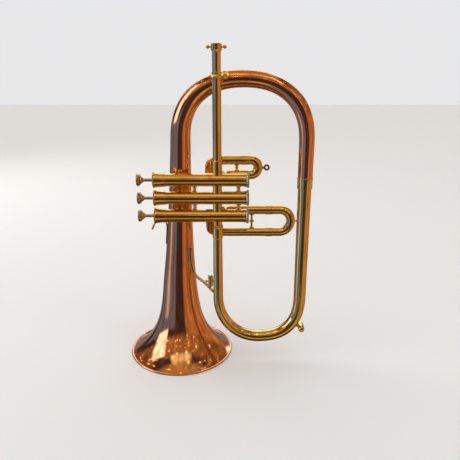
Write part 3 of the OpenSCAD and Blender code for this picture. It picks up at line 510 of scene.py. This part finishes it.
def makeValve(v, i):
    at, along = (0, v["y"], v["z"][i - 1]), (1, 0, 0)
    bands = [turned(np.array(v["band"]) + [0, x], at, along, 96, 0.3) for x in v["bandX"]]
    piece("casing%d" % i, [turned(v["wall"], at, along, 96, 0.12)] + bands, yellowSkin, "horn",
          ["valve_casing_%d" % i])
    piece("topCap%d" % i, [turned(v["top"], at, along, 360, 0.3, v["topKnurl"])], yellowSkin, "horn",
          ["top_cap_%d" % i])
    piece("bottomCap%d" % i, [turned(v["bottom"], at, along, 336, 0.3, v["bottomKnurl"])], nickelSkin, "horn",
          ["bottom_cap_%d" % i])
    piece("button%d" % i, [turned(v["button"], at, along, 72, 0.35)], buttonSkin, "valve_%d" % i,
          ["button_%d" % i])
    piece("stem%d" % i, [turned(v["stem"], at, along, 40, 0.2)], steelSkin, "valve_%d" % i,
          ["stem_%d" % i])


def makeLinks(v, name, z, above):
    def between(shell):
        # both ends sit on a casing
        shell = saddle(shell, (0, v["y"], z), (0, 0, 1), *v["linkSeat"])
        return saddle(shell, (0, v["y"], above), (0, 0, -1), *v["linkSeat"])

    knuckle = between(turned(v["knuckle"], (v["laneX"], v["y"], z), turns=72, soft=0.1))
    spools = [between(turned(v["spool"], (x, v["y"], z), turns=44, soft=0.2)) for x in v["spoolX"]]
    piece("knuckle" + name, [knuckle], yellowSkin, "horn", ["knuckle_" + name])
    piece("spools" + name, spools, yellowSkin, "horn", ["spools_" + name])


for i in (1, 2, 3):
    makeValve(valve, i)
makeLinks(valve, "12", valve["z"][1], valve["z"][0])
makeLinks(valve, "23", valve["z"][2], valve["z"][1])
print("valves made")

slide = dict(y=-30.0, outer=6.2, bore=5.65, inner=5.6, crookBore=5.2, bend=11.0, collarR=6.65,
             portX=(46.4, 64), seat=(6, 12), shortSeat=(7, 10.6),
             first=dict(up=290.3, low=270.0, joint=96, arc=102, start=78),
             third=dict(up=219.9, low=187.6, joint=131, arc=143.6, start=80),
             second=dict(angle=-12, joint=31, arc=36),
             postX=(83.0, 104.3), waist=1.5, bead=(1.3, 2.2),
             ring=[[1.7, -1.1], [2.2, -1.5], [3.7, -1.5], [4.4, -0.8], [4.4, 0.8], [3.7, 1.5], [2.2, 1.5],
                   [1.7, 1.1]], ringX=123.9, neck=[[0, 117.2], [2.6, 117.2], [2.4, 119], [1.2, 119.6],
                                                   [1.2, 120.8], [0, 120.8]],
             knob=[[0, -2.2], [2.6, -2.2], [2.3, 0.2], [1.3, 0.8], [1.3, 1.3], [2.1, 1.9], [2.4, 2.9],
                   [2, 3.8], [1, 4.3], [0, 4.4]], smallKnob=0.75)


def makeSleeve(s, name, node, x, z, zLeg, end):
    # out of the casing square to its axis, round a quarter bend, then along X:
    # bend point = (b (1 - cos t), far - b + b sin t)
    angle, far, b = math.atan2(zLeg - z, -s["y"]), math.hypot(zLeg - z, s["y"]), s["bend"]
    out, side = np.array([0, math.cos(angle), math.sin(angle)]), np.array([1.0, 0, 0])
    base = np.array([x, s["y"], z])
    t = np.linspace(0, math.pi / 2, 28)[1:, None]
    path = np.concatenate([base + out * np.linspace(s["seat"][0], far - b, 24)[:, None],
                           base + out * (far - b + b * np.sin(t)) + side * b * (1 - np.cos(t)),
                           base + out * far + side * np.linspace(b + 1, end - x, 40)[:, None]])
    ring = [[5.7, end - 7], [s["collarR"], end - 7], [s["collarR"], end], [5.7, end]]
    branch = tube(path, s["outer"], s["outer"] - s["bore"], np.cross(out, side))
    piece(name, [saddle(branch, (0, s["y"], z), out, *s["seat"]),
                 turned(ring, (0, 0, zLeg), (1, 0, 0), 72, 0.3)], yellowSkin, "horn", [node])


def crook(s, c):
    # two inner legs, two collars and the half-round bow of a slide
    rad, mid = (c["up"] - c["low"]) / 2, (c["up"] + c["low"]) / 2
    t = np.linspace(math.pi / 2, -math.pi / 2, 72)
    leg = np.linspace(c["joint"] + 2.0, c["arc"], 20)[:-1]
    line = np.concatenate([np.stack([leg, 0 * leg, 0 * leg + c["up"]], 1),
                           np.stack([c["arc"] + rad * np.cos(t), 0 * t, mid + rad * np.sin(t)], 1),
                           np.stack([leg[::-1], 0 * leg, 0 * leg + c["low"]], 1)])
    shells = [tube(line, s["outer"], s["outer"] - s["crookBore"], (0, 1, 0))]
    j, bore = c["joint"], s["crookBore"]
    for z in (c["up"], c["low"]):
        shells.append(turned([[bore, c["start"]], [s["inner"], c["start"]], [s["inner"], j + 1],
                              [bore, j + 1]], (0, 0, z), (1, 0, 0), 64, 0.1))
        shells.append(turned([[bore + 0.1, j + 0.1], [6.55, j + 0.1], [6.55, j + 2.3], [6.2, j + 2.9],
                              [bore + 0.1, j + 2.9]], (0, 0, z), (1, 0, 0), 72, 0.3))
    return shells


def post(s, x, c, bead):
    # turned brace: broad round feet, a thin waist and a bead half way
    m, h, r, w = (c["low"] + c["up"]) / 2, (c["up"] - c["low"]) / 2, s["outer"], s["waist"]
    half = [[0, h - r + 1.5], [w + 1.7, h - r + 1.5], [w + 1.7, h - r - 0.9], [w + 0.6, h - r - 1.5],
            [w, h - r - 2.4], [w, bead], [w + bead - 0.3, bead * 0.45]]
    return turned(half + [[a, -b] for a, b in half[::-1]], (x, 0, m), turns=40, soft=0.4)


def makeSlides(s, z):
    a, c = s["first"], s["third"]
    near, past = s["portX"]
    makeSleeve(s, "firstSleeveUpper", "first_sleeve_upper", near, z[0], a["up"], a["joint"])
    makeSleeve(s, "firstSleeveLower", "first_sleeve_lower", past, z[0], a["low"], a["joint"])
    makeSleeve(s, "thirdSleeveUpper", "third_sleeve_upper", past, z[2], c["up"], c["joint"])
    makeSleeve(s, "thirdSleeveLower", "third_sleeve_lower", near, z[2], c["low"], c["joint"])
    piece("firstCrook", crook(s, a), yellowSkin, "first_slide", ["first_crook"])
    piece("thirdCrook", crook(s, c), yellowSkin, "third_slide", ["third_crook"])
    piece("firstBrace", [post(s, s["postX"][0], a, s["bead"][0])], yellowSkin, "horn",
          ["first_slide_brace"])
    piece("thirdBrace", [post(s, s["postX"][1], c, s["bead"][1])], yellowSkin, "horn",
          ["third_slide_brace"])
    mid = (a["up"] + a["low"]) / 2
    piece("firstPullRing", [turned(s["ring"], (s["ringX"], 0, mid), (0, 1, 0), 56),
                            turned(s["neck"], (0, 0, mid), (1, 0, 0), 32)], yellowSkin, "first_slide",
          ["first_pull_ring"])
    tip = c["arc"] + (c["up"] - c["low"]) / 2 + s["outer"]
    knob = np.array(s["knob"]) * s["smallKnob"] + [0, tip]
    piece("thirdKnob", [turned(knob, (0, 0, (c["up"] + c["low"]) / 2), (1, 0, 0), 40, 0.35)], yellowSkin,
          "third_slide", ["third_knob"])


def makeSecondSlide(s, z):
    # the short middle slide runs straight back and a little down from its casing
    c = s["second"]
    a = math.radians(c["angle"])
    out, side = np.array([0, math.cos(a), math.sin(a)]), np.array([1.0, 0, 0])
    ends = [np.array([x, s["y"], z]) for x in s["portX"]]
    j, arc, r = c["joint"], c["arc"], (s["portX"][1] - s["portX"][0]) / 2
    sleeve = [[5.2, 7], [6.2, 7], [6.2, j - 7], [6.6, j - 7], [6.6, j], [5.65, j], [5.65, 11], [5.2, 11]]
    sleeves = [saddle(turned(sleeve, e, out, 64, 0.2), ends[0], out, *s["shortSeat"]) for e in ends]
    piece("secondSleeves", sleeves, yellowSkin, "horn", ["second_sleeves"])
    t, leg = np.linspace(math.pi, 0, 64)[:, None], np.linspace(j + 2, arc, 8)[:-1, None]
    mid = (ends[0] + ends[1]) / 2
    line = np.concatenate([ends[0] + out * leg, mid + side * r * np.cos(t) + out * (arc + r * np.sin(t)),
                           ends[1] + out * leg[::-1]])
    shells = [tube(line, s["outer"], 1.0, np.cross(out, side))]
    for e in ends:
        shells.append(turned([[5.2, 13], [5.6, 13], [5.6, j + 1], [5.2, j + 1]], e, out, 64, 0.1))
        shells.append(turned([[5.3, j + 0.1], [6.55, j + 0.1], [6.55, j + 2.2], [6.2, j + 2.8],
                              [5.3, j + 2.8]], e, out, 64, 0.3))
    piece("secondCrook", shells, yellowSkin, "second_slide", ["second_crook"])
    piece("secondKnob", [turned(np.array(s["knob"]) + [0, arc + r + s["outer"]], mid, out, 40, 0.35)],
          yellowSkin, "second_slide", ["second_knob"])


makeSlides(slide, valve["z"])
makeSecondSlide(slide, valve["z"][1])
print("slides made")

fittings = dict(
    y=-30.0, stayAt=[[5.2, 0], [3.7, 2]], staySeat=(7, 9.4),
    stay=[[0, 7], [4.2, 7], [4.2, 9.6], [2.4, 10.6], [2.4, 12.4], [4.4, 13.6], [4.4, 17], [0, 17]],
    sBrace=[[17.9, -12.9, 168.5], [17, -14.2, 161], [17.6, -14.2, 150.6], [19, -13.9, 140.4],
            [21.4, -14.6, 132.2], [26.4, -17.6, 125.6], [34.2, -21.6, 120.9], [42, -26, 115.2],
            [47.4, -28.9, 110.6], [50.6, -30, 108]],
    socketX=46.1, socket=[[0, 133.9], [1.9, 133.7], [2.9, 132.9], [3.35, 131.5], [3.35, 116.4], [2.2, 116.4],
                          [2.2, 131], [0, 131]],
    socketPad=[[0, 48.6], [2.4, 48.6], [2.4, 51.5], [0, 51.5]], screwAt=[40.4, -30, 124],
    hook=[[170, 0.75], [180, 0.8], [190, 0.8], [198, 1.1]],
    hookEnd=[[-18.4, 0, 204.5], [-22.4, -0.4, 208.6], [-27.2, -0.8, 208.4], [-31, -1.2, 205],
             [-33.2, -1.6, 200.2], [-36.7, -2, 192]])


def makeFittings(f, z, b):
    back = (0, 1, 0)
    stays = [saddle(turned(f["stay"], (x, f["y"], z[k]), back, 48), (0, f["y"], z[k]), back, *f["staySeat"])
             for x, k in f["stayAt"]]
    piece("bellStays", stays, yellowSkin, "horn", ["bell_stays"])
    line, t = smoothPath(f["sBrace"], 90), np.linspace(0, 1, 90)
    piece("sBrace", [rod(line, np.interp(t, [0, 0.35, 0.5, 1], [2.5, 2.5, 2.1, 2.1]),
                         np.interp(t, [0, 0.35, 1], [0.9, 1.4, 1.5]), (0.93, 0, 0.37))], paleSkin, "horn",
          ["s_brace"])
    piece("lyreSocket", [turned(f["socket"], (f["socketX"], f["y"], 0), turns=56),
                         turned(f["socketPad"], (0, f["y"], 125), (1, 0, 0), 32)], paleSkin, "horn",
          ["lyre_socket"])
    screw = [[0, -1.9]] + [[1.9 * math.sin(a), -1.9 * math.cos(a)] for a in np.linspace(0.15, 2.55, 22)] \
        + [[1, 3.4], [0, 3.4]]
    piece("lyreScrew", [turned(screw, f["screwAt"], (1, 0, 0), 36, 0)], paleSkin, "lyre_screw",
          ["lyre_screw"])
    foot = [[b["lean"] * (h - b["flareTop"]) / 206 - np.interp(h, b["stemZ"], b["stemR"]) - gap, 0, h]
            for h, gap in f["hook"]]
    line, t = smoothPath(foot + f["hookEnd"], 110), np.linspace(0, 1, 110)
    piece("pinkyHook", [rod(line, np.interp(t, [0, 0.4, 0.75, 1], [3.4, 3.2, 2, 1.4]),
                            np.interp(t, [0, 0.33, 0.55, 1], [0.6, 0.8, 1.4, 1.4]), (0, 1, 0))], yellowSkin,
          "horn", ["pinky_hook"])


waterKey = dict(at=[177.5, -29.0, 48.7],
                barrel=[[0, 13], [3, 13], [3.9, 12.8], [4.4, 12.1], [4.4, 0.4], [4.1, 0], [2.65, 0],
                        [2.65, 11], [0, 11]],
                plunger=[[0, -6.2], [2, -6], [3.3, -5.4], [4, -4.4], [4, -3.4], [3.6, -2.9], [2.6, -2.9],
                         [2.6, 5], [1.3, 5], [1.3, 7.5], [0, 7.5]])


def makeWaterKey(k, m):
    # the neck leaves the loop at the point 141/180 of the way round and meets the barrel
    at = np.array(k["at"])
    foot = superBend(m["x0"], m["x1"], m["y0"], m["y1"], m["start"], m["low"] - m["start"], m["left"],
                     m["right"], 181)[141]
    reach = np.array([at[0] - foot[0], 0, at[2] - foot[2]])
    far = np.linalg.norm(reach)
    neck = [[0, 7.8], [2.9, 7.8], [2.9, far - 3], [0, far - 3]]
    piece("waterKeyBody", [turned(k["barrel"], at, (0, 1, 0), 56),
                           turned(neck, (foot[0], -22.3, foot[2]), reach, 40)],
          yellowSkin, "horn", ["water_key_body"])
    piece("waterKeyPlunger", [turned(k["plunger"], at, (0, 1, 0), 40)], yellowSkin, "water_key",
          ["water_key_plunger"])


makeFittings(fittings, valve["z"], bell)
makeWaterKey(waterKey, mainTube)
plainNodes = ["piston_%d" % i for i in (1, 2, 3)] + ["piston_spring_%d" % i for i in (1, 2, 3)]
for node in plainNodes + ["water_key_spring"]:
    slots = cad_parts[node].data.materials
    slots.clear()
    slots.append(steelSkin)
print("fittings made")

floorLook = dict(size=6.0, tone=(0.8, 0.8, 0.8, 1), rough=0.9)


def makeFloor(f):
    me = bpy.data.meshes.new("floor")
    h = f["size"]
    me.from_pydata([(-h, -h, 0), (h, -h, 0), (h, h, 0), (-h, h, 0)], [], [(0, 1, 2, 3)])
    floor = bpy.data.objects.new("floor", me)
    bpy.context.scene.collection.objects.link(floor)
    floor.visible_glossy = False
    skin, n = newSkin("paleFloor")
    n.finish(n.add("ShaderNodeBsdfPrincipled", {}, {"Base Color": f["tone"], "Roughness": f["rough"],
                                                       "Specular IOR Level": 0.0}))
    me.materials.append(skin)


makeFloor(floorLook)

# backdrop is what the camera sees, and times lift it is what lights the matt floor. each patch
# holds a colour, then where it starts and ends round the room (degrees from the front, left
# is negative) and in height (sine of the elevation), and how soft its edges are
studio = dict(
    room=(0.06, 0.036, 0.032, 1), backdrop=(0.80, 0.80, 0.81, 1), lift=0.98,
    patches=[((0.08, 0.04, 0.02, 1), -181, 181, -1.1, -0.8, 0.1),       # dark under the table edge
             ((0.62, 0.42, 0.13, 1), -60, 60, -0.76, -0.46, 0.08),      # warm light off the table
             ((0.17, 0.21, 0.29, 1), -128, -24, -0.75, 0.10, 0.08),     # cool daylight off the table, left
             ((0.50, 0.24, 0.08, 1), 26, 152, -0.75, 0.30, 0.10),       # warm side of the room
             ((0.30, 0.15, 0.05, 1), 70, 140, 0.25, 0.80, 0.08),        # warm wall on the right
             ((0.26, 0.13, 0.05, 1), -140, -92, 0.30, 0.80, 0.08),      # warm wall on the left
             ((0.42, 0.22, 0.08, 1), -70, 75, 0.30, 0.74, 0.10),        # lamplit far wall
             ((1.05, 0.82, 0.40, 1), -40, 40, 0.74, 0.93, 0.05),        # ceiling, near half
             ((0.50, 0.30, 0.10, 1), -181, 181, 0.90, 1.2, 0.04),       # ceiling, overhead
             ((0.26, 0.25, 0.24, 1), 152, 210, -0.7, 0.30, 0.06),       # dusk behind, right
             ((0.26, 0.25, 0.24, 1), -210, -140, -0.7, 0.30, 0.06),     # dusk behind, left
             ((1.70, 1.55, 1.45, 1), 144, 210, 0.30, 0.86, 0.05),       # window behind, right half
             ((1.70, 1.55, 1.45, 1), -210, -144, 0.30, 0.86, 0.05),     # window behind, left half
             ((0.62, 0.55, 0.48, 1), -90, -66, -0.5, -0.14, 0.05),      # sheen of the window on the table
             ((2.00, 1.80, 1.55, 1), -97, -58, 0.08, 0.70, 0.03)],      # tall window at the left
    glints=dict(size=7.5, near=0.2, tone=(7.0, 4.6, 1.5, 1), low=0.3, high=1.1, left=-150, right=120))


def makeSky(s):
    # the studio round the horn: a dim warm room with soft bright panels laid over one another,
    # broken by slow streaks: light = patches * (0.55 + 0.9 * streak)
    world = bpy.data.worlds.new("studio")
    bpy.context.scene.world = world
    world.use_nodes = True
    n = Nodes(world.node_tree)
    way = n.add("ShaderNodeTexCoord", {}, {}, "Generated")
    x, y, z = (n.add("ShaderNodeSeparateXYZ", {}, {0: way}, i) for i in range(3))
    turn = n.add("ShaderNodeMath", {"operation": "ARCTAN2"}, {0: x, 1: 0 - y}) * (180 / math.pi)

    def band(v, low, high, soft):
        # rises from 0 to 1 round low and falls again round high
        return n.span(v, low - soft, low + soft, kind="SMOOTHSTEP") \
            * n.span(v, high - soft, high + soft, 1.0, 0.0, "SMOOTHSTEP")

    tone = s["room"]
    for colour, left, right, low, high, soft in s["patches"]:
        tone = n.blend(band(turn, left, right, soft * 60) * band(z, low, high, soft), tone, colour)
    # small warm lamps on the far wall: bright inside a short distance of scattered points
    g = s["glints"]
    dots = n.add("ShaderNodeTexVoronoi", {}, {"Vector": way, "Scale": g["size"]})
    spot = n.span(dots, g["near"] * 0.6, g["near"], 1.0, 0.0) * band(turn, g["left"], g["right"], 6.0) \
        * band(z, g["low"], g["high"], 0.05)
    tone = n.blend(spot, tone, g["tone"])
    grain = n.noise(n.add("ShaderNodeCombineXYZ", {}, {0: turn * 0.06, 1: z * 4.0}), 1.0, 3.0, 0.6)
    streak = n.span(grain, 0.3, 0.7, 0.45, 1.55)
    light = n.add("ShaderNodeBackground", {}, {0: tone, 1: streak})
    seen, soft = (n.add("ShaderNodeLightPath", {}, {}, k) for k in ("Is Camera Ray", "Is Diffuse Ray"))
    plain = n.add("ShaderNodeBackground", {}, {0: s["backdrop"], 1: seen + soft * s["lift"]})
    n.finish(n.add("ShaderNodeMixShader", {}, {0: seen + soft, 1: light, 2: plain}), "ShaderNodeOutputWorld")


makeSky(studio)

lamps = dict(window=dict(place=(-1.3, 0.9, 1.1), aim=(0.05, 0, 0.2), size=(0.9, 1.2), power=8,
                         tone=(1.0, 0.98, 0.95)),
             fill=dict(place=(1.5, -0.9, 0.8), aim=(0.05, 0, 0.2), size=(0.5, 0.9), power=3,
                       tone=(1.0, 0.97, 0.94)))


def softBox(name, s):
    lamp = bpy.data.lights.new(name, "AREA")
    lamp.shape, lamp.energy, lamp.color = "RECTANGLE", s["power"], s["tone"]
    lamp.size, lamp.size_y = s["size"]
    obj = bpy.data.objects.new(name, lamp)
    bpy.context.scene.collection.objects.link(obj)
    obj.location = s["place"]
    u, v, w = basis(np.array(s["place"]) - s["aim"])
    obj.rotation_euler = Matrix((u, v, w)).transposed().to_euler()
    obj.visible_glossy = False


for name, s in lamps.items():
    softBox(name + "Light", s)

view = dict(place=(0.07368, -0.66594, 0.40382), pitch=17.8, lens=38.35, sensor=36.0)


def makeCamera(v):
    cam = bpy.data.cameras.new("camera")
    cam.lens, cam.sensor_width, cam.clip_start = v["lens"], v["sensor"], 0.02
    eye = bpy.data.objects.new("camera", cam)
    bpy.context.scene.collection.objects.link(eye)
    eye.location = v["place"]
    eye.rotation_euler = (math.radians(90 - v["pitch"]), 0, 0)
    bpy.context.scene.camera = eye
    bpy.context.scene.view_settings.view_transform = "Standard"


makeCamera(view)
print("stage made")
